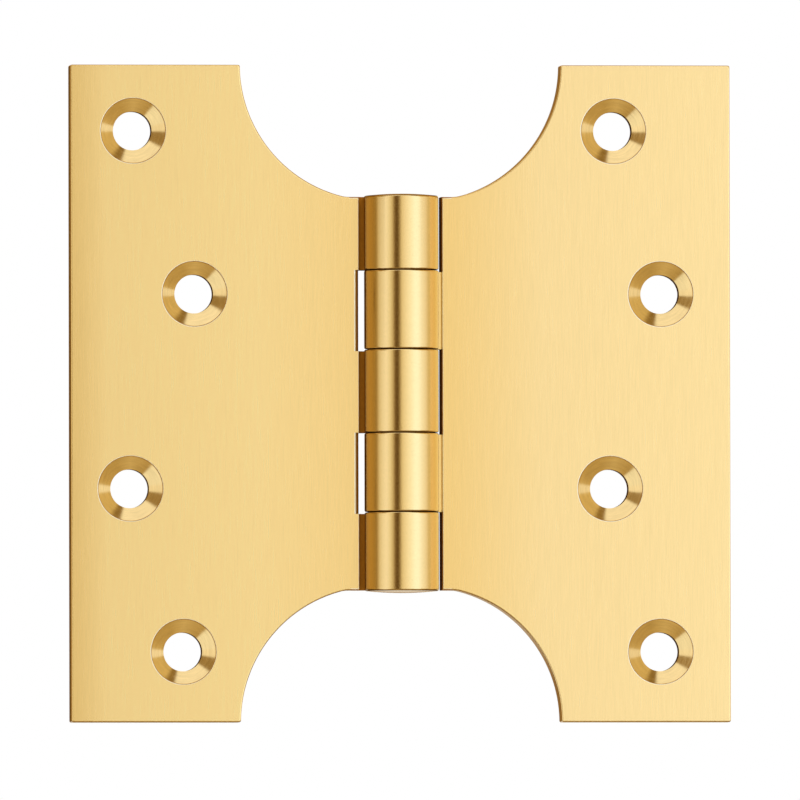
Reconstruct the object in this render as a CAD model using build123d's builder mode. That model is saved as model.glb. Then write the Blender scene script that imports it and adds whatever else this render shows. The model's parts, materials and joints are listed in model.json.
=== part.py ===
"""Parliament hinge in satin brass: two scooped leaves on a fixed pin, opened flat.

The pin's axis is Z, X runs across the leaves and the countersunk faces look towards -Y.
The origin is on the pin's axis, halfway up the hinge. All sizes are in millimetres.
"""
from build123d import *
import os
from math import sqrt

# Leaves
hinge_height = 101.6  # 4 in, along the pin
leaf_width = 51.2  # from the pin's axis to the outer edge
leaf_thickness = 4.0
closed_gap = 1.6  # between the two faces when the hinge is folded shut
strip_width = 26.3  # screw strip beside each scoop
scoop_depth = 20.4  # from the leaf's end down to its neck
scoop_overrun = 0.5  # how far the scoop's circle would dip past the neck's flat end
neck_blend = 5.0  # the curve between the scoop and the neck's flat end
corner_round = 0.3  # corners of the screw strips
edge_round = 0.25

# Barrel
barrel_diameter = 11.5
barrel_proud = 0.15  # the rim of the barrel stands this far past the neck
barrel_crown = 0.3  # height of the domed end above its rim
barrel_round = 0.3
middle_knuckle = 12.9
mate_knuckle = 12.25  # each of the two knuckles of the right leaf
knuckle_offset = 0.35  # the middle knuckle sits this far above mid-height
knuckle_gap = 0.2
knuckle_round = 0.25

# Where a leaf meets the barrel
shoulder_gap = 0.65  # from the barrel to the leaf's face, beside its own knuckles
shoulder_depth = 0.5  # how deep the groove between them is
left_notch_gap = 0.8  # from a mating knuckle to the notch's wall
right_notch_gap = 0.65
left_notch_round = 0.7
right_notch_round = 0.25
notch_drop = 0.2  # a notch's floor lies this far below the end of the knuckle beneath it

# Pin
pin_diameter = 6.0
pin_clearance = 0.05  # radial, in the knuckles that turn on the pin

# Holes for countersunk wood screws
screw_diameter = 6.0
countersink_diameter = 10.1
countersink_angle = 110
countersink_round = 0.3
top_rows = (10.2, 35.4)  # from the leaf's top end
bottom_rows = (36.1, 10.9)  # from its bottom end
left_margins = (9.7, 19.2, 9.2, 17.4)  # from the leaf's outer edge, top row first
right_margins = (18.1, 10.8, 18.7, 10.9)

match = 0.001  # how closely an edge's place has to fit when it is picked

# Worked out from the sizes above
half_height = hinge_height / 2
neck_end = half_height - scoop_depth
scoop_radius = scoop_depth + scoop_overrun
strip_inner = leaf_width - strip_width
scoop_x = strip_inner - scoop_radius
blend_x = scoop_x + sqrt((scoop_radius - neck_blend) ** 2 - (scoop_depth - neck_blend) ** 2)
blend_scale = scoop_radius / (scoop_radius - neck_blend)
blend_end = (scoop_x + (blend_x - scoop_x) * blend_scale, half_height - (scoop_depth - neck_blend) * blend_scale)
leaf_front = closed_gap / 2
front_plane = Plane.XZ.offset(-leaf_front)

barrel_radius = barrel_diameter / 2
barrel_end = neck_end + barrel_proud
pin_radius = pin_diameter / 2
shoulder_reach = barrel_radius + shoulder_gap

middle_top = knuckle_offset + middle_knuckle / 2
middle_bottom = knuckle_offset - middle_knuckle / 2
joints = (middle_top + mate_knuckle, middle_top, middle_bottom, middle_bottom - mate_knuckle)
knuckle_tops = [barrel_end] + [joint - knuckle_gap / 2 for joint in joints]
knuckle_bottoms = [joint + knuckle_gap / 2 for joint in joints] + [-barrel_end]
knuckle_count = len(knuckle_tops)
last_knuckle = knuckle_count - 1
screw_rows = [half_height - row for row in top_rows] + [row - half_height for row in bottom_rows]


def barrel_section(low, high, domed=False):
    """Half section of the barrel in the XZ plane; a domed one is crowned at its high end."""
    with BuildSketch(Plane.XZ) as section:
        with BuildLine():
            Polyline((0, high), (0, low), (barrel_radius, low), (barrel_radius, high))
            if domed:
                Line((0, high), (0, high + barrel_crown))
                TangentArc((0, high + barrel_crown), (barrel_radius, high), tangent=(1, 0))
            else:
                Line((barrel_radius, high), (0, high))
        make_face()
        low_rim, high_rim = section.vertices().group_by(Axis.X)[-1].sort_by(Axis.Y)
        fillet(low_rim, knuckle_round)
        fillet(high_rim, barrel_round if domed else knuckle_round)
    return section.sketch


def upright_front_edges(leaf, reach):
    """The edges of a leaf's front face that run along the pin, at a distance from its axis."""
    edges = leaf.edges().filter_by(Axis.Z).filter_by_position(Axis.Y, leaf_front - match, leaf_front + match)
    return edges.filter_by_position(Axis.X, reach - match, reach + match)


def build_leaf(own_knuckles, notch_gap, notch_round, bore_radius, margins):
    """One leaf, built towards +X. Its knuckles are counted from the top, from 0."""
    notch_reach = barrel_radius + notch_gap
    with BuildPart() as leaf:
        # The plate, with a scoop at each end
        with BuildSketch(front_plane) as outline:
            with BuildLine():
                Polyline((0, 0), (0, neck_end), (blend_x, neck_end))
                TangentArc((blend_x, neck_end), blend_end, tangent=(1, 0))
                RadiusArc(blend_end, (strip_inner, half_height), -scoop_radius)
                Polyline((strip_inner, half_height), (leaf_width, half_height), (leaf_width, 0))
                mirror(about=Plane.XZ)
            make_face()
            fillet(outline.vertices().filter_by_position(Axis.X, strip_inner, leaf_width), corner_round)
        extrude(amount=-leaf_thickness)
        rims = leaf.edges().group_by(Axis.Y)
        fillet((rims[0] + rims[-1]).filter_by_position(Axis.X, match, leaf_width), edge_round)

        # The groove beside the barrel
        with BuildSketch(Plane.XY.offset(-half_height)):
            with Locations((0, leaf_front)):
                Rectangle(shoulder_reach, 2 * shoulder_depth, align=(Align.MIN, Align.CENTER))
        extrude(amount=hinge_height, mode=Mode.SUBTRACT)

        # A notch for each knuckle of the other leaf
        for number in range(knuckle_count):
            if number in own_knuckles:
                continue
            ceiling = knuckle_bottoms[number - 1] if number > 0 else half_height
            floor = knuckle_tops[number + 1] - notch_drop if number < last_knuckle else -half_height
            with BuildSketch(front_plane):
                with Locations((0, floor)):
                    Rectangle(notch_reach, ceiling - floor, align=(Align.MIN, Align.MIN))
            extrude(amount=-leaf_thickness, mode=Mode.SUBTRACT)

        # The rounded front edges, along the notches first and then along the groove
        fillet(upright_front_edges(leaf, notch_reach), notch_round)
        if notch_gap != shoulder_gap:
            fillet(upright_front_edges(leaf, shoulder_reach), edge_round)

        # The knuckles, bored for the pin
        for number in own_knuckles:
            low, high = knuckle_bottoms[number], knuckle_tops[number]
            if number < last_knuckle:
                revolve(barrel_section(low, high, domed=number == 0), axis=Axis.Z)
            else:
                upturned = barrel_section(-high, -low, domed=True)
                revolve(mirror(upturned, about=Plane.XY, mode=Mode.PRIVATE), axis=Axis.Z)
        Cylinder(bore_radius, hinge_height, mode=Mode.SUBTRACT)

        # The screw holes
        places = [(leaf_width - margin, row) for margin, row in zip(margins, screw_rows)]
        with Locations(front_plane):
            with Locations(places):
                CounterSinkHole(
                    screw_diameter / 2,
                    countersink_diameter / 2,
                    counter_sink_angle=countersink_angle,
                )
        circles = leaf.edges().filter_by(GeomType.CIRCLE)
        rims = circles.filter_by_position(Axis.Y, leaf_front - match, leaf_front + match)
        fillet(rims.filter_by(lambda rim: abs(rim.radius - countersink_diameter / 2) < match), countersink_round)
    return leaf


left = build_leaf((0, 2, 4), left_notch_gap, left_notch_round, pin_radius, left_margins)
right = build_leaf((1, 3), right_notch_gap, right_notch_round, pin_radius + pin_clearance, right_margins)

with BuildPart() as left_leaf:
    mirror(left.part, about=Plane.YZ)
with BuildPart() as right_leaf:
    add(right.part)

with BuildPart() as hinge_pin:
    # The pin's ends are dressed flush with the domed ends of the barrel
    upper_half = barrel_section(0, barrel_end, domed=True)
    revolve(upper_half, axis=Axis.Z)
    revolve(mirror(upper_half, about=Plane.XY, mode=Mode.PRIVATE), axis=Axis.Z)
    Cylinder(pin_radius, hinge_height, mode=Mode.INTERSECT)

os.makedirs("parts", exist_ok=True)
left_leaf.part.label = "left_leaf"
export_step(left_leaf.part, "parts/left_leaf.step")
right_leaf.part.label = "right_leaf"
export_step(right_leaf.part, "parts/right_leaf.step")
hinge_pin.part.label = "hinge_pin"
export_step(hinge_pin.part, "parts/hinge_pin.step")
for piece in (left_leaf, right_leaf, hinge_pin):
    box = piece.part.bounding_box()
    print(piece.part.label, round(piece.part.volume, 1), "mm3", box, len(piece.solids()), "solid", piece.part.is_valid)
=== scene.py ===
# %% [markdown]
# # A parliament hinge in satin brass
#
# A parliament hinge carries a door or a shutter well clear of its frame. It is two brass leaves with a
# scoop cut from each end, knuckles that interlock into one barrel, and a fixed pin through them.
#
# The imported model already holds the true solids. It shows them as flat facets, and a brushed metal is all
# about how light slides over a smooth face and catches on a rounded edge. So here each piece is modelled
# again on the same sizes, with real rounds and smooth shading, and the solids stay behind for the motion.

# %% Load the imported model
import bpy
import bmesh
import json
from math import cos, pi, radians, sin, sqrt, tan
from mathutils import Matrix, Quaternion, Vector


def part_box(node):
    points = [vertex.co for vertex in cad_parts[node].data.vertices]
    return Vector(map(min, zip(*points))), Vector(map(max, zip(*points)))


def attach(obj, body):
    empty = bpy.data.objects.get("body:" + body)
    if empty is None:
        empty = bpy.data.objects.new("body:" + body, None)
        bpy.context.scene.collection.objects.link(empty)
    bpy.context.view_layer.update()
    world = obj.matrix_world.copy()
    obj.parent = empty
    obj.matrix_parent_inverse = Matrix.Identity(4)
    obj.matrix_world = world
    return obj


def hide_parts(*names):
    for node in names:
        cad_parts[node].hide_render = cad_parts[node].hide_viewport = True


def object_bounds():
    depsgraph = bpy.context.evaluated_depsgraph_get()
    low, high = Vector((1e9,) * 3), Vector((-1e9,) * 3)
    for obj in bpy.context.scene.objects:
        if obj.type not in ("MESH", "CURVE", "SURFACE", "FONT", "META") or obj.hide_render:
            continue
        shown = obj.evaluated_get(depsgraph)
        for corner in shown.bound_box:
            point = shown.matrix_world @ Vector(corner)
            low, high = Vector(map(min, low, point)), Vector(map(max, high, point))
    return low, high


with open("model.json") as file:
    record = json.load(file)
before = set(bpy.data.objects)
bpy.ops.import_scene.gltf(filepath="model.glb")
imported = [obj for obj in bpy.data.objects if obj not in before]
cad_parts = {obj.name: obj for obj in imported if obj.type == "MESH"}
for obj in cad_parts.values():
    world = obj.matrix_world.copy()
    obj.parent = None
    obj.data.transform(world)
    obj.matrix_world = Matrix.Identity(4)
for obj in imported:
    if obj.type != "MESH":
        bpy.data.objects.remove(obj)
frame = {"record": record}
cad_box = [list(corner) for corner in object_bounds()]

# %% [markdown]
# ## Sizes
#
# Small rounds and gaps are easier to draw in millimetres, and cuts come out cleaner at that scale. So every
# piece is drawn at one unit to the millimetre and brought down to metres when it is finished. Whatever the
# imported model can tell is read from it: the outline's reach, the barrel, the back face and the holes.

# %% Sizes in millimetres
MM = 0.001
record = frame["record"]
leaf_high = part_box("right_leaf")[1]
pin_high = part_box("hinge_pin")[1]
mount_places = {mount["name"]: mount["pos_m"] for mount in record["mounts"]}

leaf_reach = leaf_high.x / MM
half_height = leaf_high.z / MM
barrel_radius = -cad_box[0][1] / MM
crown_top = pin_high.z / MM
pin_radius = pin_high.x / MM
back = mount_places["right_leaf_back"][1] / MM

leaf_thickness = 4.0
front = back - leaf_thickness
strip_width = 26.3  # the screw strip beside each scoop
scoop_depth = 20.4  # from the leaf's end down to its neck
scoop_radius = 20.9
neck_blend = 5.0  # the curve between the scoop and the neck
corner_round = 0.3
edge_round = 0.25
print(f"leaf {leaf_reach:.1f} wide and {2 * half_height:.1f} high, from y {front:.1f} to {back:.1f}")

# %% Sizes of the barrel and of the clearances beside it
barrel_crown = 0.3  # how far the domed end rises above its rim
barrel_end = crown_top - barrel_crown
barrel_round = 0.3
knuckle_gap = 0.1
knuckle_round = 0.25
joints = (19.05, 6.8, -6.1, -18.35)  # the heights of the gaps between knuckles
knuckle_tops = [barrel_end] + [joint - knuckle_gap / 2 for joint in joints]
knuckle_bottoms = [joint + knuckle_gap / 2 for joint in joints] + [-barrel_end]
last_knuckle = len(knuckle_tops) - 1

shoulder_gap = 0.65  # from the barrel to the leaf's face, beside its own knuckles
shoulder_depth = 0.5  # how deep the groove between them is
left_notch_gap = 0.8  # from the barrel to the walls of the left leaf's notches
right_notch_gap = 0.6
left_notch_round = 0.7
notch_drop = 0.2  # a notch's floor lies this far below the end of the knuckle beneath it
pin_clearance = 0.05
pin_rim = 0.12  # the eased edge round each end of the pin
print("knuckles from the top:", [(round(t, 2), round(b, 2)) for t, b in zip(knuckle_tops, knuckle_bottoms)])

# %% Sizes of the screw holes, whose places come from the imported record
screw_radius = 3.0
sink_radius = 5.05
sink_round = 0.3
sink_slope = radians(35)  # how steeply the cone goes down, which makes it 110 degrees wide
back_round = 0.15
screw_places = {"left": [], "right": []}
for opening in record["physics"]["openings"]:
    low, high = (Vector(corner) / MM for corner in opening["box_m"])
    centre = (low + high) / 2
    screw_places[opening["name"].split("_")[0]].append((abs(centre.x), centre.z))
print("screw holes", screw_places)

# %% [markdown]
# ## Drawing with the edit tools
#
# Every piece here is either a flat outline given a thickness or a half section spun round an axis. Both
# start as a line, and Blender can draw one the way a pencil does: collapse a plane to a single corner,
# extrude that corner along a step, and spin it about a centre for an arc. The corner that was made last
# stays selected, so the next stroke goes on from there.

# %% A pencil made of edit-mode operators
WHOLE_TURN = 2 * pi
SLIVER = 0.0005  # corners nearer than this are one corner


def put_down_pencil(name, point):
    """Starts a mesh as one corner at a point, in edit mode."""
    bpy.ops.object.select_all(action="DESELECT")
    bpy.ops.mesh.primitive_plane_add(size=1, location=(0, 0, 0))
    piece = bpy.context.object
    piece.name = piece.data.name = name
    bpy.ops.object.mode_set(mode="EDIT")
    bpy.ops.mesh.select_all(action="SELECT")
    bpy.ops.mesh.merge(type="CENTER")
    piece["at"] = (0.0, 0.0, 0.0)
    bpy.ops.transform.translate(value=point)
    piece["at"] = tuple(point)
    return piece


def line_to(piece, point):
    """Draws a straight stroke from the pencil's place to a point."""
    step = Vector(point) - Vector(piece["at"])
    bpy.ops.mesh.extrude_vertices_move(TRANSFORM_OT_translate={"value": step})
    piece["at"] = tuple(point)


def arc_to(piece, centre, point, steps):
    """Draws an arc about a centre, the short way round, to a point."""
    start, end = (Vector(corner) - Vector(centre) for corner in (piece["at"], point))
    axis = end.cross(start).normalized()  # seen along its axis, spin turns clockwise
    bpy.ops.mesh.spin(steps=steps, angle=start.angle(end), center=centre, axis=axis)
    piece["at"] = tuple(point)


def lift_pencil(piece):
    """Leaves edit mode with doubled corners merged and faces turned outwards."""
    bpy.ops.mesh.select_all(action="SELECT")
    bpy.ops.mesh.remove_doubles(threshold=SLIVER)
    bpy.ops.mesh.normals_make_consistent(inside=False)
    bpy.ops.object.mode_set(mode="OBJECT")
    return piece


# %% Selecting by place, and turning a drawn line into a solid
def pick(piece, kind, wanted):
    """Selects only the corners, edges or faces of a kind for which wanted is true."""
    bpy.ops.mesh.select_all(action="DESELECT")
    mesh = bmesh.from_edit_mesh(piece.data)
    for part in getattr(mesh, kind):
        if wanted(part):
            part.select_set(True)
    mesh.select_flush_mode()
    bmesh.update_edit_mesh(piece.data)


def spin_solid(piece, centre, axis, steps):
    """Spins the drawn half section a whole turn into a closed solid."""
    bpy.ops.mesh.select_all(action="SELECT")
    bpy.ops.mesh.spin(steps=steps, angle=WHOLE_TURN, center=centre, axis=axis)
    return lift_pencil(piece)


def thicken(piece, step):
    """Fills the drawn outline with a face and extrudes it along a step."""
    bpy.ops.mesh.select_all(action="SELECT")
    bpy.ops.mesh.remove_doubles(threshold=SLIVER)
    bpy.ops.mesh.edge_face_add()
    bpy.ops.mesh.extrude_region_move(TRANSFORM_OT_translate={"value": step})


def combine(piece, other, operation):
    """Joins or cuts a piece with another by a Boolean modifier, and uses the other up."""
    bpy.ops.object.select_all(action="DESELECT")
    bpy.context.view_layer.objects.active = piece
    piece.select_set(True)
    modifier = piece.modifiers.new(operation.lower(), "BOOLEAN")
    modifier.operation = operation
    modifier.solver = "MANIFOLD"
    modifier.object = other
    bpy.ops.object.modifier_apply(modifier=modifier.name)
    bpy.data.objects.remove(other)


# %% [markdown]
# ## The plate of a leaf
#
# Both leaves are the same brass plate with other holes. Its outline runs along the neck, through a small
# blend into the big scoop, round the screw strip and down to the middle, and the lower half is its mirror.
# The sharp corners of the strip are softened as corners, before there is any thickness. Afterwards the rims
# of both faces get their tiny round, which is what draws the bright line round a real leaf.

# %% Draw one plate, reaching towards +X
NECK_STEPS = 6
SCOOP_STEPS = 64
ROUND_STEPS = 4
LOOKS_ALONG_Y = 0.999  # a face looks along +Y or -Y when that part of its normal is above this

neck_end = half_height - scoop_depth
strip_inner = leaf_reach - strip_width
scoop_x = strip_inner - scoop_radius
blend_x = scoop_x + sqrt((scoop_radius - neck_blend) ** 2 - (scoop_depth - neck_blend) ** 2)
scoop_centre = Vector((scoop_x, front + edge_round, half_height))
blend_centre = Vector((blend_x, front + edge_round, neck_end + neck_blend))
blend_end = scoop_centre + (blend_centre - scoop_centre).normalized() * scoop_radius
corner_reach = sqrt((scoop_radius + corner_round) ** 2 - corner_round ** 2)
corner_centre = scoop_centre + Vector((corner_reach, 0, -corner_round))
corner_start = scoop_centre + (corner_centre - scoop_centre).normalized() * scoop_radius
edge_turn = pi / 2 / ROUND_STEPS


def round_rim(plate, outwards):
    """Raises the face that looks along +Y or -Y in small insets, which together make a quarter round."""
    pick(plate, "faces", lambda face: face.normal.y * outwards > LOOKS_ALONG_Y)
    for step in range(ROUND_STEPS):
        before, after = edge_turn * step, edge_turn * (step + 1)
        inwards = edge_round * (cos(before) - cos(after))
        upwards = edge_round * (sin(after) - sin(before))
        bpy.ops.mesh.inset(thickness=inwards, depth=upwards)


def draw_plate(name):
    """The bare plate, with its scoops, softened corners and rounded rims."""
    def at(x, z):
        return Vector((x, front + edge_round, z))

    plate = put_down_pencil(name, at(0, 0))
    line_to(plate, at(0, neck_end))
    line_to(plate, at(blend_x, neck_end))
    arc_to(plate, blend_centre, blend_end, NECK_STEPS)
    arc_to(plate, scoop_centre, corner_start, SCOOP_STEPS)
    arc_to(plate, corner_centre, corner_centre + Vector((0, 0, corner_round)), ROUND_STEPS)
    outer_centre = at(leaf_reach - corner_round, corner_centre.z)
    line_to(plate, at(leaf_reach - corner_round, half_height))
    arc_to(plate, outer_centre, at(leaf_reach, corner_centre.z), ROUND_STEPS)
    line_to(plate, at(leaf_reach, 0))
    bpy.ops.object.mode_set(mode="OBJECT")
    mirror = plate.modifiers.new("lower half", "MIRROR")
    mirror.use_axis = (False, False, True)
    mirror.merge_threshold = SLIVER
    bpy.ops.object.modifier_apply(modifier=mirror.name)
    bpy.ops.object.mode_set(mode="EDIT")
    thicken(plate, (0, leaf_thickness - 2 * edge_round, 0))
    bpy.ops.mesh.select_all(action="SELECT")
    bpy.ops.mesh.normals_make_consistent(inside=False)
    round_rim(plate, -1)
    round_rim(plate, 1)
    return lift_pencil(plate)


print("outline turns at x", [round(x, 2) for x in (blend_x, blend_end.x, corner_start.x, leaf_reach)])

# %% [markdown]
# ## Cutters
#
# The plate is then cut as it is on the real hinge: a shallow groove beside the barrel, a notch for each
# knuckle of the other leaf, and the screw holes. A cutter carries the round that it leaves behind, so the
# edge comes out of the cut already eased, and no bevel has to find its way round the corners of a notch.

# %% A groove or notch beside the barrel, drawn as a section and run along the pin
OVERRUN = 1.0  # how far a cutter stands past the faces that it cuts
LIP = 0.1  # where a cutter's round meets the front face, it flares on by this much
LIP_SLOPE = 0.1  # and rises off the face by this share of that


def draw_slot(name, reach, low, high, depth, ease):
    """A cutter from the pin's axis out to a reach, between two heights, with its front edge eased."""
    outside = front - OVERRUN
    slot = put_down_pencil(name, (-OVERRUN, outside, low))
    line_to(slot, (reach + ease + LIP, outside, low))
    line_to(slot, (reach + ease + LIP, front - LIP * LIP_SLOPE, low))
    line_to(slot, (reach + ease, front, low))
    arc_to(slot, (reach + ease, front + ease, low), (reach, front + ease, low), ROUND_STEPS)
    line_to(slot, (reach, front + depth, low))
    line_to(slot, (-OVERRUN, front + depth, low))
    line_to(slot, (-OVERRUN, outside, low))
    thicken(slot, (0, 0, high - low))
    return lift_pencil(slot)


# %% A countersunk screw hole, as a half section spun about the screw's axis
HOLE_STEPS = 96


def draw_sink(name, x, z):
    """A cutter for one screw hole: an eased mouth, a cone, a bore and an eased back edge."""
    ease = sink_round * tan(sink_slope / 2)
    mouth = sink_radius + ease
    cone_start = sink_radius - ease * cos(sink_slope)
    cone_depth = (sink_radius - screw_radius) * tan(sink_slope)

    def at(radius, y):
        return (x + radius, y, z)

    sink = put_down_pencil(name, at(0, front - OVERRUN))
    line_to(sink, at(mouth + LIP, front - OVERRUN))
    line_to(sink, at(mouth + LIP, front - LIP * LIP_SLOPE))
    line_to(sink, at(mouth, front))
    arc_to(sink, at(mouth, front + sink_round), at(cone_start, front + ease * sin(sink_slope)), ROUND_STEPS)
    line_to(sink, at(screw_radius, front + cone_depth))
    line_to(sink, at(screw_radius, back - back_round))
    line_to(sink, at(screw_radius + back_round + OVERRUN, back + OVERRUN))
    line_to(sink, at(0, back + OVERRUN))
    return spin_solid(sink, at(0, 0), (0, 1, 0), HOLE_STEPS)


# %% [markdown]
# ## Knuckles and pin
#
# A knuckle is turned work, so a half section spun about the pin's axis is the honest way to make one. Its
# rims have small rounds, and the outer ends of the first and the last knuckle are softly domed. The pin is
# spun too, on the same dome, and only a hairline shows where it was dressed flush with the barrel.

# %% Knuckles, spun about the pin's axis
BARREL_STEPS = 160
DOME_STEPS = 10
dome_edge = barrel_radius - barrel_round
dome_radius = (dome_edge ** 2 + barrel_crown ** 2) / (2 * barrel_crown)


def dome_height(radius):
    """How high the domed end of the barrel stands at a distance from the axis."""
    return barrel_end + barrel_crown - dome_radius + sqrt(dome_radius ** 2 - radius ** 2)


def draw_knuckle(name, low, high):
    """One knuckle between two heights. Where it ends the barrel, that end is domed."""
    def ends_barrel(height):
        return abs(abs(height) - barrel_end) < SLIVER

    def ease_of(height):
        return barrel_round if ends_barrel(height) else knuckle_round

    low_ease, high_ease = ease_of(low), ease_of(high)
    low_middle = low - barrel_crown if ends_barrel(low) else low
    high_middle = high + barrel_crown if ends_barrel(high) else high
    knuckle = put_down_pencil(name, (0, 0, low_middle))
    if ends_barrel(low):
        arc_to(knuckle, (0, 0, dome_radius - crown_top), (dome_edge, 0, low), DOME_STEPS)
    else:
        line_to(knuckle, (barrel_radius - low_ease, 0, low))
    round_over(knuckle, low_ease, low, 1)
    line_to(knuckle, (barrel_radius, 0, high - high_ease))
    round_over(knuckle, high_ease, high, -1)
    if ends_barrel(high):
        arc_to(knuckle, (0, 0, crown_top - dome_radius), (0, 0, high_middle), DOME_STEPS)
    else:
        line_to(knuckle, (0, 0, high))
    return spin_solid(knuckle, (0, 0, 0), (0, 0, 1), BARREL_STEPS)


def round_over(knuckle, ease, height, inward):
    """The quarter round at a knuckle's rim. Inward is 1 at its lower rim and -1 at its upper one."""
    centre = Vector((barrel_radius - ease, 0, height + inward * ease))
    side = centre + Vector((ease, 0, 0))
    rim = Vector((barrel_radius - ease, 0, height))
    arc_to(knuckle, centre, side if inward > 0 else rim, ROUND_STEPS)


# %% The pin, with a hairline eased round each dressed end
def draw_pin(name):
    """The pin, as long as the barrel and domed with it."""
    rim = pin_radius - pin_rim
    height = dome_height(rim)
    pin = put_down_pencil(name, (0, 0, -crown_top))
    arc_to(pin, (0, 0, dome_radius - crown_top), (rim, 0, -height), DOME_STEPS)
    line_to(pin, (pin_radius, 0, pin_rim - height))
    line_to(pin, (pin_radius, 0, height - pin_rim))
    line_to(pin, (rim, 0, height))
    arc_to(pin, (0, 0, crown_top - dome_radius), (0, 0, crown_top), DOME_STEPS)
    return spin_solid(pin, (0, 0, 0), (0, 0, 1), BARREL_STEPS)


def draw_bore(name, radius):
    """A cutter for the bore that the pin runs in."""
    bore = put_down_pencil(name, (0, 0, -half_height))
    line_to(bore, (radius, 0, -half_height))
    line_to(bore, (radius, 0, half_height))
    line_to(bore, (0, 0, half_height))
    return spin_solid(bore, (0, 0, 0), (0, 0, 1), BARREL_STEPS)


# %% [markdown]
# ## Putting a leaf together
#
# Both leaves are drawn towards +X. The left one is put in its place as a mirror image at the end. That can
# turn its faces inside out, so the normals are made to point outwards once more.

# %% Make a leaf from its plate, its cuts and its knuckles
STEP_IN_WALL = 0.02  # keeps the wall of the groove out of the plane of a notch's wall


def make_leaf(side, own_knuckles, notch_gap, notch_ease, bore_radius):
    """One finished leaf in millimetres, drawn towards +X."""
    leaf = draw_plate(side + "_leaf_brushed")
    groove_reach = barrel_radius + min(shoulder_gap, notch_gap - STEP_IN_WALL)
    groove = draw_slot("groove", groove_reach, -half_height, half_height, shoulder_depth, edge_round)
    combine(leaf, groove, "DIFFERENCE")
    for number in range(last_knuckle + 1):
        if number in own_knuckles:
            continue
        ceiling = knuckle_bottoms[number - 1] if number > 0 else half_height
        floor = knuckle_tops[number + 1] - notch_drop if number < last_knuckle else -half_height
        through = leaf_thickness + OVERRUN
        notch = draw_slot("notch", barrel_radius + notch_gap, floor, ceiling, through, notch_ease)
        combine(leaf, notch, "DIFFERENCE")
    for number in own_knuckles:
        knuckle = draw_knuckle("knuckle", knuckle_bottoms[number], knuckle_tops[number])
        combine(leaf, knuckle, "UNION")
    combine(leaf, draw_bore("bore", bore_radius), "DIFFERENCE")
    for x, z in screw_places[side]:
        combine(leaf, draw_sink("screw hole", x, z), "DIFFERENCE")
    return leaf


LEFT_KNUCKLES = (0, 2, 4)
RIGHT_KNUCKLES = (1, 3)
left_leaf = make_leaf("left", LEFT_KNUCKLES, left_notch_gap, left_notch_round, pin_radius)
right_leaf = make_leaf("right", RIGHT_KNUCKLES, right_notch_gap, edge_round, pin_radius + pin_clearance)
pin = draw_pin("pin_dressed")
print("in millimetres:", left_leaf.name, right_leaf.name, pin.name)

# %% Bring the pieces down to metres, at the origin, with smooth rounds and flat faces
SHARP_ABOVE = radians(32)
FLAT_FACE_WEIGHT = 100  # the most that the modifier takes, so flat faces keep their own normals


def to_real_size(piece, mirrored=False):
    """Scales a piece from millimetres to metres, into its mesh, and sets its shading."""
    bpy.ops.object.select_all(action="DESELECT")
    bpy.context.view_layer.objects.active = piece
    piece.select_set(True)
    piece.scale = (-MM if mirrored else MM, MM, MM)
    bpy.ops.object.transform_apply(location=False, rotation=False, scale=True)
    bpy.ops.object.mode_set(mode="EDIT")
    bpy.ops.mesh.select_all(action="SELECT")
    bpy.ops.mesh.remove_doubles(threshold=SLIVER * MM)
    bpy.ops.mesh.normals_make_consistent(inside=False)
    bpy.ops.object.mode_set(mode="OBJECT")
    bpy.ops.object.shade_smooth_by_angle(angle=SHARP_ABOVE)
    even = piece.modifiers.new("flat faces stay flat", "WEIGHTED_NORMAL")
    even.keep_sharp = True
    even.weight = FLAT_FACE_WEIGHT
    bpy.ops.object.modifier_apply(modifier=even.name)
    del piece["at"]
    size = [round(side / MM, 2) for side in piece.dimensions]
    print(piece.name, len(piece.data.polygons), "faces", size)


to_real_size(left_leaf, mirrored=True)
to_real_size(right_leaf)
to_real_size(pin)

# %% [markdown]
# ## Shader sums in plain Python
#
# A finish is a small sum over noise textures. Wiring Math nodes by hand hides that sum, so a thin class
# round a socket lets it be written with the usual signs. One method makes every other kind of node.

# %% A node tree, and a socket that sums can be written on
class Shader:
    """The emptied node tree of a material or a world."""

    def __init__(self, owner):
        owner.use_nodes = True
        self.tree = owner.node_tree
        self.tree.nodes.clear()

    def node(self, kind, settings=None, inputs=None, output=0):
        """Makes a node, sets it up, then fills its inputs with numbers or links. Gives one of its outputs."""
        node = self.tree.nodes.new(kind)
        for name, value in (settings or {}).items():
            if name == "stops":
                self.set_stops(node.color_ramp, value)
            else:
                setattr(node, name, value)
        for name, value in (inputs or {}).items():
            if isinstance(value, Socket):
                self.tree.links.new(value.socket, node.inputs[name])
            else:
                node.inputs[name].default_value = value
        return Socket(self, node.outputs[output]) if node.outputs else None

    def set_stops(self, ramp, stops):
        """Gives a colour ramp its stops, each a place from 0 to 1 and a colour."""
        ramp.elements.remove(ramp.elements[-1])
        for number, (place, colour) in enumerate(stops):
            element = ramp.elements.new(place) if number else ramp.elements[0]
            element.position = place
            element.color = (*colour, 1)


class Socket:
    """An output of a node, which plus, minus, times and divided by work on."""

    def __init__(self, shader, socket):
        self.shader = shader
        self.socket = socket

    def math(self, operation, first, second):
        return self.shader.node("ShaderNodeMath", {"operation": operation}, {0: first, 1: second})

    def __add__(self, other):
        return self.math("ADD", self, other)

    def __sub__(self, other):
        return self.math("SUBTRACT", self, other)

    def __rsub__(self, other):
        return self.math("SUBTRACT", other, self)

    def __mul__(self, other):
        return self.math("MULTIPLY", self, other)

    def __truediv__(self, other):
        return self.math("DIVIDE", self, other)

    __radd__ = __add__
    __rmul__ = __mul__

    def step(self, start, end):
        """Climbs from 0 to 1 while the value goes from start to end."""
        inputs = {"Value": self, "From Min": start, "From Max": end}
        return self.shader.node("ShaderNodeMapRange", {}, inputs)

    def size(self):
        """The value without its sign."""
        return self.math("ABSOLUTE", self, 0)


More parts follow.
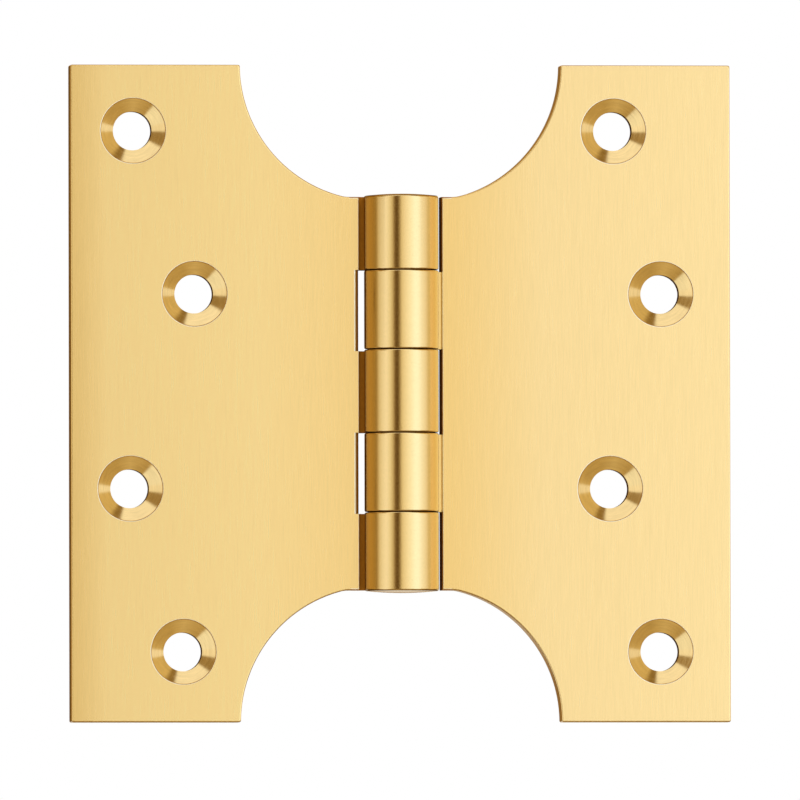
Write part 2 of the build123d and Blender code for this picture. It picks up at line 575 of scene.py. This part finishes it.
# %% [markdown]
# ## Satin brass
#
# Brushing leaves fine parallel scratches. Light spreads across them and hardly at all along them, and each
# one is a little brighter or duller than the next. A noise texture that is squeezed one way and drawn out
# the other gives such scratches: they tint the brass, vary its roughness and raise a fine relief. The
# leaves are brushed up and down, the barrel is turned, the countersinks are turned too, and the outer edges
# were run along a belt. The rims beside the barrel and round the countersinks get a paler brass, which is a
# painted highlight. The pin, its bore, most of the grooves and a ring of facets in each countersink's mouth
# get a dull dark brass, and the screws' bores, the walls of the notches and the ends between the knuckles
# get a nearly black one: both are painted shade.
#
# A finish can also be tinted by its place across the hinge, which paints light and shade in: the screw
# strips paler, the left leaf darker towards its outer edge and the barrel's flanks darker. One function
# makes them all. Its stretch says how many scratches there are to the metre along X, Y and Z.

# %% One finish for metal, along any direction
BRASS = (0.87, 0.60, 0.225)
LEAF_BRASS = (0.94, 0.622, 0.203)
# Paler brass: a painted highlight on rims.
PAINTED_HIGHLIGHT = (1.0, 0.85, 0.52)
# Dull dark brass: painted shade in slots, on the pin and in its bore.
PAINTED_SHADE = (0.42, 0.155, 0.012)
# Nearly black brass: deeper painted shade in hollows and between the knuckles.
PAINTED_DEEP_SHADE = (0.09, 0.032, 0.006)
UNTINTED = (1.0, 1.0, 1.0)
WIDE_SHARE = 0.2  # wide streaks are this much coarser than the scratches
SCRATCH_PART = 0.75  # scratches make up this much of the pattern, and wide streaks the rest
MIDDLE = 0.5  # what a noise texture gives on average
NOISE_DETAIL = 2.0
ROUGHNESS_SWING = 0.1
LACQUER, LACQUER_ROUGHNESS = 0.1, 0.2

# A Mix node has its sockets for vectors and for colours at these numbers
VECTOR_A, VECTOR_B, VECTOR_RESULT = 4, 5, 1
COLOUR_A, COLOUR_B, COLOUR_RESULT = 6, 7, 2


def metal_finish(name, colour, stretch, roughness, contrast, relief,
                 spread=0.0, turn=0.0, shine=1.0, painted_light=()):
    """Scratched metal. Relief is in metres, spread is how much light goes across the scratches.

    A tint paints light or shade in by place. It says where it starts and where it is at full strength, in
    millimetres along X, and its colour.
    """
    material = bpy.data.materials.new(name)
    shader = Shader(material)
    place = shader.node("ShaderNodeTexCoord", output="Object")
    scratches, streaks = (
        shader.node("ShaderNodeTexNoise", {}, {
            "Vector": shader.node("ShaderNodeMapping", {}, {
                "Vector": place,
                "Scale": [share * per_metre for per_metre in stretch],
            }),
            "Scale": 1.0,
            "Detail": NOISE_DETAIL,
        })
        for share in (1.0, WIDE_SHARE)
    )
    pattern = SCRATCH_PART * scratches + (1.0 - SCRATCH_PART) * streaks - MIDDLE
    brass = shader.node("ShaderNodeVectorMath", {"operation": "SCALE"}, {
        0: colour,
        "Scale": 1.0 + contrast * pattern,
    })
    # Each tint paints light or shade into the brass by its place along X.
    for start, full, tint in painted_light:
        across = shader.node("ShaderNodeSeparateXYZ", {}, {"Vector": place}).step(start * MM, full * MM)
        mixed = {"Factor": across, VECTOR_A: UNTINTED, VECTOR_B: tint}
        brass = shader.node("ShaderNodeVectorMath", {"operation": "MULTIPLY"}, {
            0: brass,
            1: shader.node("ShaderNodeMix", {"data_type": "VECTOR"}, mixed, VECTOR_RESULT),
        })
    bump = shader.node("ShaderNodeBump", {}, {"Strength": 1.0, "Distance": relief, "Height": scratches})
    metal = shader.node("ShaderNodeBsdfPrincipled", {}, {
        "Base Color": brass,
        "Metallic": shine,
        "Specular IOR Level": 0.0,
        "Roughness": roughness + ROUGHNESS_SWING * pattern,
        "Anisotropic": spread,
        "Anisotropic Rotation": turn,
        "Coat Weight": LACQUER * shine,
        "Coat Roughness": LACQUER_ROUGHNESS,
        "Normal": bump,
    })
    shader.node("ShaderNodeOutputMaterial", {}, {"Surface": metal})
    return material


# %% The finishes, from the polished faces to the dirty ones
FINE, SLOW = 6000.0, 220.0  # scratches to the metre, across and along the brushing
MICRON = 0.000001
QUARTER_TURN = 0.25
# Painted light and shade by place on the leaves.
LEAF_PAINTED_LIGHT = (
    (0, -22, (1.07, 1.15, 1.36)),  # painted light: the left screw strip is paler than the neck
    (-45.5, -50.5, (0.89, 0.84, 0.73)),  # painted shade: darker again towards its outer edge
    (8, 22, (1.03, 1.11, 1.38)),  # painted light: the right screw strip is paler too
)
# Painted shade by place on the barrel's flanks.
BARREL_PAINTED_SHADE = (
    (-3.9, -4.6, (0.53, 0.45, 0.22)),  # painted shade darkens the barrel's left flank most
    (4.2, 4.9, (0.84, 0.84, 0.80)),  # and a lighter painted shade darkens its right flank
)
finishes = {
    "brushed": metal_finish(
        "brushed_leaf", LEAF_BRASS, stretch=(FINE, FINE, SLOW), roughness=0.26, contrast=0.23,
        relief=0.5 * MICRON, spread=0.5, painted_light=LEAF_PAINTED_LIGHT,
    ),
    "turned": metal_finish(
        "turned_barrel", BRASS, stretch=(3500, 3500, FINE), roughness=0.17, contrast=0.2,
        relief=6 * MICRON, spread=0.5, turn=QUARTER_TURN, painted_light=BARREL_PAINTED_SHADE,
    ),
    "sunk": metal_finish(
        "turned_countersink", BRASS, stretch=(500, 4500, 500), roughness=0.14, contrast=0.45,
        relief=8 * MICRON,
    ),
    "edge": metal_finish(
        "linished_edge", BRASS, stretch=(SLOW, FINE, SLOW), roughness=0.2, contrast=0.14,
        relief=1 * MICRON,
    ),
    "end": metal_finish(
        "linished_end", BRASS, stretch=(900, FINE, FINE), roughness=0.2, contrast=0.16,
        relief=1 * MICRON,
    ),
    # Painted highlight on rims.
    "burnished": metal_finish(
        "burnished_rim", PAINTED_HIGHLIGHT, stretch=(FINE, FINE, SLOW), roughness=0.35, contrast=0.14,
        relief=1 * MICRON,
    ),
    # Painted shade in slots, on the pin and in its bore, and in a ring of each countersink's mouth.
    "tarnished": metal_finish(
        "tarnished_slot", PAINTED_SHADE, stretch=(2500, 2500, 2500), roughness=0.5, contrast=0.5,
        relief=3 * MICRON, shine=0.2,
    ),
    # Deeper painted shade in the screws' bores, on the notches' walls and between the knuckles.
    "blackened": metal_finish(
        "blackened_slot", PAINTED_DEEP_SHADE, stretch=(2500, 2500, 2500), roughness=0.6, contrast=0.5,
        relief=3 * MICRON, shine=0.1,
    ),
}
print("finishes:", ", ".join(finishes))

# %% Give each face of a piece the finish that its tool left
FACING = 0.9999  # a flat face looks along an axis when its normal comes this near to it
SLANTED = 0.72  # and a rounded one leans that way while its normal stays above this
WALL = 1 - SLANTED  # a wall's normal leans forward by no more than this
RIM = 0.93  # the outermost facet of a rounded edge still faces forward by this much
OUTER_RIM = 0.95  # and so do the outer two at the mouth of a countersink
CONE_FACING = 0.84  # more than the cone inside it does
SLOT_REACH = 1.6  # the grooves and notches, with their rounded edges, end this far from the barrel


def finish_of(face, holes, own_knuckles):
    """The finish of one face, from where it is and which way it looks."""
    x, y, z = face.center / MM
    facing, upright = abs(face.normal.y), abs(face.normal.z) < SLANTED
    from_pin = sqrt(x * x + y * y)
    # In the barrel: painted shade on the pin and its bore, and deeper painted shade on the knuckles' ends.
    if from_pin < barrel_radius + SLIVER:
        if from_pin < pin_radius + pin_clearance + SLIVER and upright:
            return "tarnished"
        if upright:
            return "turned"
        return "end" if abs(z) > barrel_end - SLIVER else "blackened"
    beside_own = any(knuckle_bottoms[number] < z < knuckle_tops[number] for number in own_knuckles)
    # Beside the barrel: painted shade on the left groove's floor and on walls, deeper on the steepest faces,
    # and a painted highlight on the rims and beside the right leaf's own knuckles.
    if abs(x) < barrel_radius + SLOT_REACH and abs(z) < neck_end - SLIVER and y < back - edge_round:
        bright = x > 0 and beside_own  # painted highlight: the right leaf stays bright right up to its own knuckles
        if facing > FACING:
            return "brushed" if bright or y < front + SLIVER else "tarnished"
        if bright or facing > RIM:
            return "burnished"
        return "tarnished" if facing > WALL else "blackened"
    # Screw holes: deep painted shade in the bores, painted shade and a painted highlight at the mouth.
    for hole_x, hole_z in holes:
        from_screw = sqrt((abs(x) - hole_x) ** 2 + (z - hole_z) ** 2)
        if from_screw < screw_radius + SLIVER and facing < RIM:
            return "blackened"
        if from_screw < sink_radius + sink_round and facing < FACING:
            if facing < CONE_FACING:
                return "sunk"
            return "burnished" if facing > OUTER_RIM else "tarnished"
    return "brushed" if facing > SLANTED else "edge"


def give_finishes(piece, holes=(), own_knuckles=()):
    """Puts the finishes on a piece, face by face."""
    names = list(finishes)
    piece.data.materials.clear()
    for name in names:
        piece.data.materials.append(finishes[name])
    for face in piece.data.polygons:
        face.material_index = names.index(finish_of(face, holes, own_knuckles))
    print(piece.name, "has", len({face.material_index for face in piece.data.polygons}), "finishes")


give_finishes(left_leaf, screw_places["left"], LEFT_KNUCKLES)
give_finishes(right_leaf, screw_places["right"], RIGHT_KNUCKLES)
give_finishes(pin)

# %% Hide the solid that each piece is drawn for, and attach the piece to what it moves with
for piece, node, body in (
    (left_leaf, "left_leaf", "left"),
    (right_leaf, "right_leaf", "right"),
    (pin, "hinge_pin", "left"),
):
    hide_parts(node)
    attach(piece, body)
print("pieces ride on their bodies")

# %% [markdown]
# ## The studio
#
# Metal has no look of its own: it shows the room. So the hinge stands inside a light tent, a sphere that
# only reflections can see. Its front is bright, brightest where the soft box stands to the right, with one
# dark gap just left of the camera. That gap draws the dark line down the barrel. The countersinks look
# sideways, into a ring of the tent's wall a little in front of the leaves, and each patch of that ring
# draws one wedge in every countersink. Behind the hinge the tent is brown above and in shade below, with
# one pale patch low down at the very back, and those draw the lines along the edges. Reflections leave the
# white floor out, because it would hide the tent's lower half.

# %% Camera, far away, slightly left of the opened hinge and below it
CAMERA_AZIMUTH = radians(-5.7)
CAMERA_ELEVATION = radians(-1.5)
CAMERA_ROLL = radians(-0.117)
CAMERA_DISTANCE = 5.0
FRAME_WIDTH = 0.12363
SENSOR = 36.0
AIM = (-0.15, front, -1.0)
NEAREST, FARTHEST = 0.1, 20.0
aim = Vector(AIM) * MM
away = Vector((
    sin(CAMERA_AZIMUTH) * cos(CAMERA_ELEVATION),
    -cos(CAMERA_AZIMUTH) * cos(CAMERA_ELEVATION),
    sin(CAMERA_ELEVATION),
))
lens = bpy.data.cameras.new("camera")
lens.sensor_width = SENSOR
lens.lens = SENSOR * CAMERA_DISTANCE / FRAME_WIDTH
lens.clip_start = NEAREST
lens.clip_end = FARTHEST
camera = bpy.data.objects.new("camera", lens)
camera.location = aim + away * CAMERA_DISTANCE
camera.rotation_euler = (away.to_track_quat("Z", "Y") @ Quaternion((0, 0, 1), CAMERA_ROLL)).to_euler()
bpy.context.scene.collection.objects.link(camera)
bpy.context.scene.camera = camera
print("camera at", [round(side, 3) for side in camera.location], "lens", round(lens.lens))

# %% What the tent shows all the way round, level with the hinge
BEHIND = (0.30, 0.17, 0.05)
DARK_CARD = (0.07, 0.03, 0.006)
BROWN = (0.484, 0.30, 0.068)
DARK_GAP = (0.12, 0.07, 0.02)
SOFT_BOX = (1.2, 1.52, 2.2)

# In degrees from straight ahead, which is 0, to the right
LEVEL_STOPS = [
    (-172, BEHIND),
    (-168, DARK_CARD),
    (-158, DARK_CARD),
    (-150, BROWN),
    (-112, BROWN),
    (-104, (0.49, 0.37, 0.16)),
    (-90, (0.50, 0.38, 0.18)),
    (-84, (0.68, 0.60, 0.46)),
    (-69, (1.0, 1.03, 1.12)),
    (-55, (1.1, 1.18, 1.45)),
    (-42, (0.96, 0.98, 1.02)),
    (-32, (0.66, 0.60, 0.47)),
    (-26, (0.22, 0.15, 0.07)),
    (-20, DARK_GAP),
    (-16, DARK_GAP),
    (-10, (0.40, 0.34, 0.22)),
    (-5, (0.84, 0.81, 0.73)),
    (2, (0.97, 0.97, 1.0)),
    (14, (1.1, 1.18, 1.38)),
    (27, (1.17, 1.37, 1.8)),
    (37, SOFT_BOX),
    (47, SOFT_BOX),
    (57, (1.17, 1.36, 1.85)),
    (68, (1.1, 1.2, 1.45)),
    (77, (0.99, 1.0, 1.1)),
    (85, (0.80, 0.74, 0.58)),
    (91, (0.76, 0.68, 0.47)),
    (104, (0.89, 0.79, 0.54)),
    (122, (0.87, 0.72, 0.40)),
    (168, (0.87, 0.72, 0.42)),
    (174, BEHIND),
]
print("level with the hinge:", len(LEVEL_STOPS), "stops")

# %% What it shows in the ring round the plane of the leaves
BRIGHT = (1.02, 1.12, 1.36)
LIGHT = (1.08, 1.16, 1.42)
SMUDGE = (0.30, 0.21, 0.08)
DIM = (0.36, 0.27, 0.14)

# In degrees from the right, which is 0, upwards
RING_STOPS = [
    (-180, BRIGHT),
    (-134, BRIGHT),
    (-130, (0.50, 0.39, 0.20)),
    (-90, (0.67, 0.57, 0.37)),
    (-60, (0.54, 0.43, 0.23)),
    (-25, (0.57, 0.45, 0.24)),
    (5, (0.74, 0.62, 0.36)),
    (48, (0.72, 0.60, 0.35)),
    (57, SMUDGE),
    (67, SMUDGE),
    (73, LIGHT),
    (141, LIGHT),
    (146, DIM),
    (180, DIM),
]
print("in the ring:", len(RING_STOPS), "stops")

# %% The light tent
TENT_RADIUS = 0.6
PALE = (0.95, 0.95, 0.93)
SHADE = (0.19, 0.12, 0.045)

# Where one part of the tent fades into the next, along Y or Z, as shares of its radius
RING_FRONT, RING_BACK = (-0.56, -0.5), (-0.2, -0.14)
LEVEL_BAND = (0.1, 0.16)  # nearer to the hinge's height, the ring gives way to what the barrel reflects
FAR_BELOW = (-0.42, -0.54)
BACK_ABOVE, BACK_BELOW = (0.2, 0.28), (-0.2, -0.28)
PATCH_BACK, PATCH_BELOW = (0.8, 0.86), (-0.18, -0.26)

bpy.ops.object.select_all(action="DESELECT")
bpy.ops.mesh.primitive_uv_sphere_add(segments=96, ring_count=48, radius=TENT_RADIUS, location=(0, 0, 0))
tent = bpy.context.object
tent.name = "light_tent"
for kind in ("camera", "diffuse", "shadow", "transmission"):
    setattr(tent, "visible_" + kind, False)
tent_light = bpy.data.materials.new("tent_light")
tent_light.cycles.emission_sampling = "NONE"
shader = Shader(tent_light)
place = shader.node("ShaderNodeTexCoord", output="Object")
x, y, z = (
    shader.node("ShaderNodeSeparateXYZ", {}, {"Vector": place}, side) / TENT_RADIUS
    for side in ("X", "Y", "Z")
)
round_pin = x.math("ARCTAN2", x, y * -1.0)
round_screw = z.math("ARCTAN2", z, x)


def all_round(turn, stops):
    """The colours of a ramp by a turn in radians. The ramp's stops are in degrees, from -180 to 180."""
    places = [((degrees + 180) / 360, colour) for degrees, colour in stops]
    return shader.node("ShaderNodeValToRGB", {"stops": places}, {"Fac": turn / WHOLE_TURN + 0.5})


def blend(under, over, mask):
    """Lays one colour over another where the mask is 1."""
    colours = {"Factor": mask, COLOUR_A: under, COLOUR_B: over}
    return shader.node("ShaderNodeMix", {"data_type": "RGBA"}, colours, COLOUR_RESULT)


beyond = y.step(*RING_BACK)
in_ring = z.size().step(*LEVEL_BAND) * y.step(*RING_FRONT) * (1.0 - beyond)
colour = blend(all_round(round_pin, LEVEL_STOPS), (*SHADE, 1), z.step(*FAR_BELOW))
colour = blend(colour, (*BROWN, 1), beyond * z.step(*BACK_ABOVE))
colour = blend(colour, (*SHADE, 1), beyond * z.step(*BACK_BELOW))
colour = blend(colour, (*PALE, 1), y.step(*PATCH_BACK) * z.step(*PATCH_BELOW))
colour = blend(colour, all_round(round_screw, RING_STOPS), in_ring)
glow = shader.node("ShaderNodeEmission", {}, {"Color": colour, "Strength": 1.0})
shader.node("ShaderNodeOutputMaterial", {}, {"Surface": glow})
tent.data.materials.append(tent_light)
print("light tent of", TENT_RADIUS, "m")

# %% Floor
FLOOR_HEIGHT = -0.16
FLOOR_WIDTH = 8.0
FLOOR_WHITE = (0.9, 0.9, 0.9, 1)
bpy.ops.object.select_all(action="DESELECT")
bpy.ops.mesh.primitive_plane_add(size=FLOOR_WIDTH, location=(0, 0, FLOOR_HEIGHT))
floor = bpy.context.object
floor.name = "floor"
floor_paint = bpy.data.materials.new("floor_paint")
shader = Shader(floor_paint)
paint = shader.node("ShaderNodeBsdfPrincipled", {}, {"Base Color": FLOOR_WHITE, "Roughness": 0.8})
shader.node("ShaderNodeOutputMaterial", {}, {"Surface": paint})
floor.data.materials.append(floor_paint)
floor.visible_glossy = False
print("floor at", FLOOR_HEIGHT, "m")

# %% A white room, which lights the floor a little less than it looks
ROOM_LIGHT = 0.75
room = bpy.data.worlds.new("white room")
bpy.context.scene.world = room
shader = Shader(room)
seen = shader.node("ShaderNodeLightPath", output="Is Camera Ray")
for ray in ("Is Glossy Ray", "Is Transmission Ray"):
    seen = seen.math("MAXIMUM", seen, shader.node("ShaderNodeLightPath", output=ray))
strength = ROOM_LIGHT + (1.0 - ROOM_LIGHT) * seen
sky = shader.node("ShaderNodeBackground", {}, {"Color": (1, 1, 1, 1), "Strength": strength})
shader.node("ShaderNodeOutputWorld", {}, {"Surface": sky})
print("room lit at", ROOM_LIGHT)

# %% One soft lamp from the front right, for the shadow
LAMP_WATTS = 6.0
LAMP_WIDTH = 0.7
LAMP_PLACE = (0.6, -0.7, 1.1)
lamp_data = bpy.data.lights.new("soft lamp", "AREA")
lamp_data.energy = LAMP_WATTS
lamp_data.size = LAMP_WIDTH
lamp = bpy.data.objects.new("soft lamp", lamp_data)
lamp.location = LAMP_PLACE
lamp.rotation_euler = lamp.location.to_track_quat("Z", "Y").to_euler()
lamp.visible_glossy = False
bpy.context.scene.collection.objects.link(lamp)
print("lamp of", LAMP_WATTS, "watts at", LAMP_PLACE)

# %% Colours as they are written, and the sizes for comparison
bpy.context.scene.view_settings.view_transform = "Standard"
print("CAD box", cad_box)
